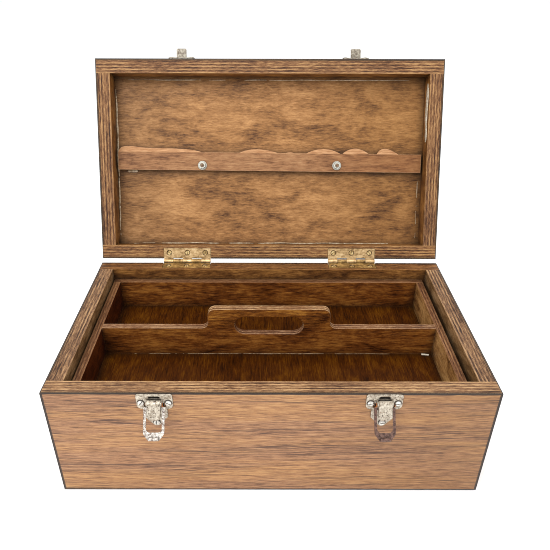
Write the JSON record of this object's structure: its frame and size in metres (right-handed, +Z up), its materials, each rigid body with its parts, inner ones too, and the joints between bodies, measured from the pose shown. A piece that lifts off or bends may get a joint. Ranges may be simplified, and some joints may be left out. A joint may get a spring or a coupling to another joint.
{
  "type": "hinged storage box",
  "caption": "Rectangular plywood box with laminate skins, back-hinged lid held by two front draw latches, lift-out tray with hand-grip divider, and a shaped strip across the lid.",
  "frame": {"origin": "centre of the flat underside", "axes": "+X along the width to the right, +Y to the hinges at the back, +Z up from the underside to the rim"},
  "size_m": [0.455, 0.43, 0.3958],
  "materials": {
    "plywood": "oiled plywood, edges showing their plies",
    "laminate": "satin wood-grain laminate with dark edges",
    "stained_panel": "stained and varnished plywood",
    "strip_wood": "stained wood with a bare bevel",
    "tray_wood": "dark stained plywood",
    "brass": "aged brass",
    "latch_nickel": "pitted nickel plate with rust spots",
    "zinc_fastener": "zinc plated",
    "handle_steel": "worn nickel plate"
  },
  "bodies": {
    "base": {"base_back_wall": "plywood", "base_bottom_panel": "plywood", "base_front_wall": "plywood", "base_laminate_back": "laminate", "base_laminate_front": "laminate", "base_laminate_left": "laminate", "base_laminate_right": "laminate", "base_left_wall": "plywood", "base_right_wall": "plywood", "hinge_base_leaf_left": "brass", "hinge_base_leaf_right": "brass", "hinge_base_screws": "brass", "hinge_pins": "brass", "latch_plate_left": "latch_nickel", "latch_plate_right": "latch_nickel", "latch_plate_screws": "latch_nickel", "latch_rivets": "latch_nickel", "tray_cleats": "plywood"},
    "lid": {"carry_handle": "handle_steel", "handle_bolts": "zinc_fastener", "handle_nuts": "zinc_fastener", "handle_washers": "zinc_fastener", "hinge_lid_leaf_left": "brass", "hinge_lid_leaf_right": "brass", "hinge_lid_screws": "brass", "keeper_left": "latch_nickel", "keeper_right": "latch_nickel", "keeper_screws": "latch_nickel", "lid_back_rail": "plywood", "lid_front_rail": "plywood", "lid_laminate_back": "laminate", "lid_laminate_front": "laminate", "lid_laminate_left": "laminate", "lid_laminate_right": "laminate", "lid_laminate_top": "laminate", "lid_left_rail": "plywood", "lid_panel": "stained_panel", "lid_right_rail": "plywood", "lid_strip": "strip_wood"},
    "tray": {"tray_back_wall": "tray_wood", "tray_divider": "tray_wood", "tray_floor": "tray_wood", "tray_front_wall": "tray_wood", "tray_left_wall": "tray_wood", "tray_right_wall": "tray_wood"},
    "lever_left": {"latch_lever_left": "latch_nickel"},
    "lever_right": {"latch_lever_right": "latch_nickel"},
    "bail_left": {"latch_bail_left": "latch_nickel"},
    "bail_right": {"latch_bail_right": "latch_nickel"}
  },
  "joints": [
    {"name": "lid_hinge", "type": "hinge", "parent": "base", "child": "lid", "pos_m": [0, 0.13415, 0.14165], "axis": [-1, 0, 0], "range_deg": [-112.8, 0]},
    {"name": "tray_lift", "type": "slide", "parent": "base", "child": "tray", "axis": [0, 0, 1], "range_m": [0, 0.15]},
    {"name": "lever_left_pivot", "type": "hinge", "parent": "base", "child": "lever_left", "pos_m": [-0.1154, -0.1357, 0.1325], "axis": [-1, 0, 0], "range_deg": [-19, 121]},
    {"name": "bail_left_pivot", "type": "hinge", "parent": "lever_left", "child": "bail_left", "pos_m": [-0.1154, -0.13557, 0.12611], "axis": [1, 0, 0], "range_deg": [-149, 17]},
    {"name": "lever_right_pivot", "type": "hinge", "parent": "base", "child": "lever_right", "pos_m": [0.1118, -0.1357, 0.1325], "axis": [-1, 0, 0], "range_deg": [-19, 121]},
    {"name": "bail_right_pivot", "type": "hinge", "parent": "lever_right", "child": "bail_right", "pos_m": [0.1118, -0.13557, 0.12611], "axis": [1, 0, 0], "range_deg": [-149, 17]}
  ]
}
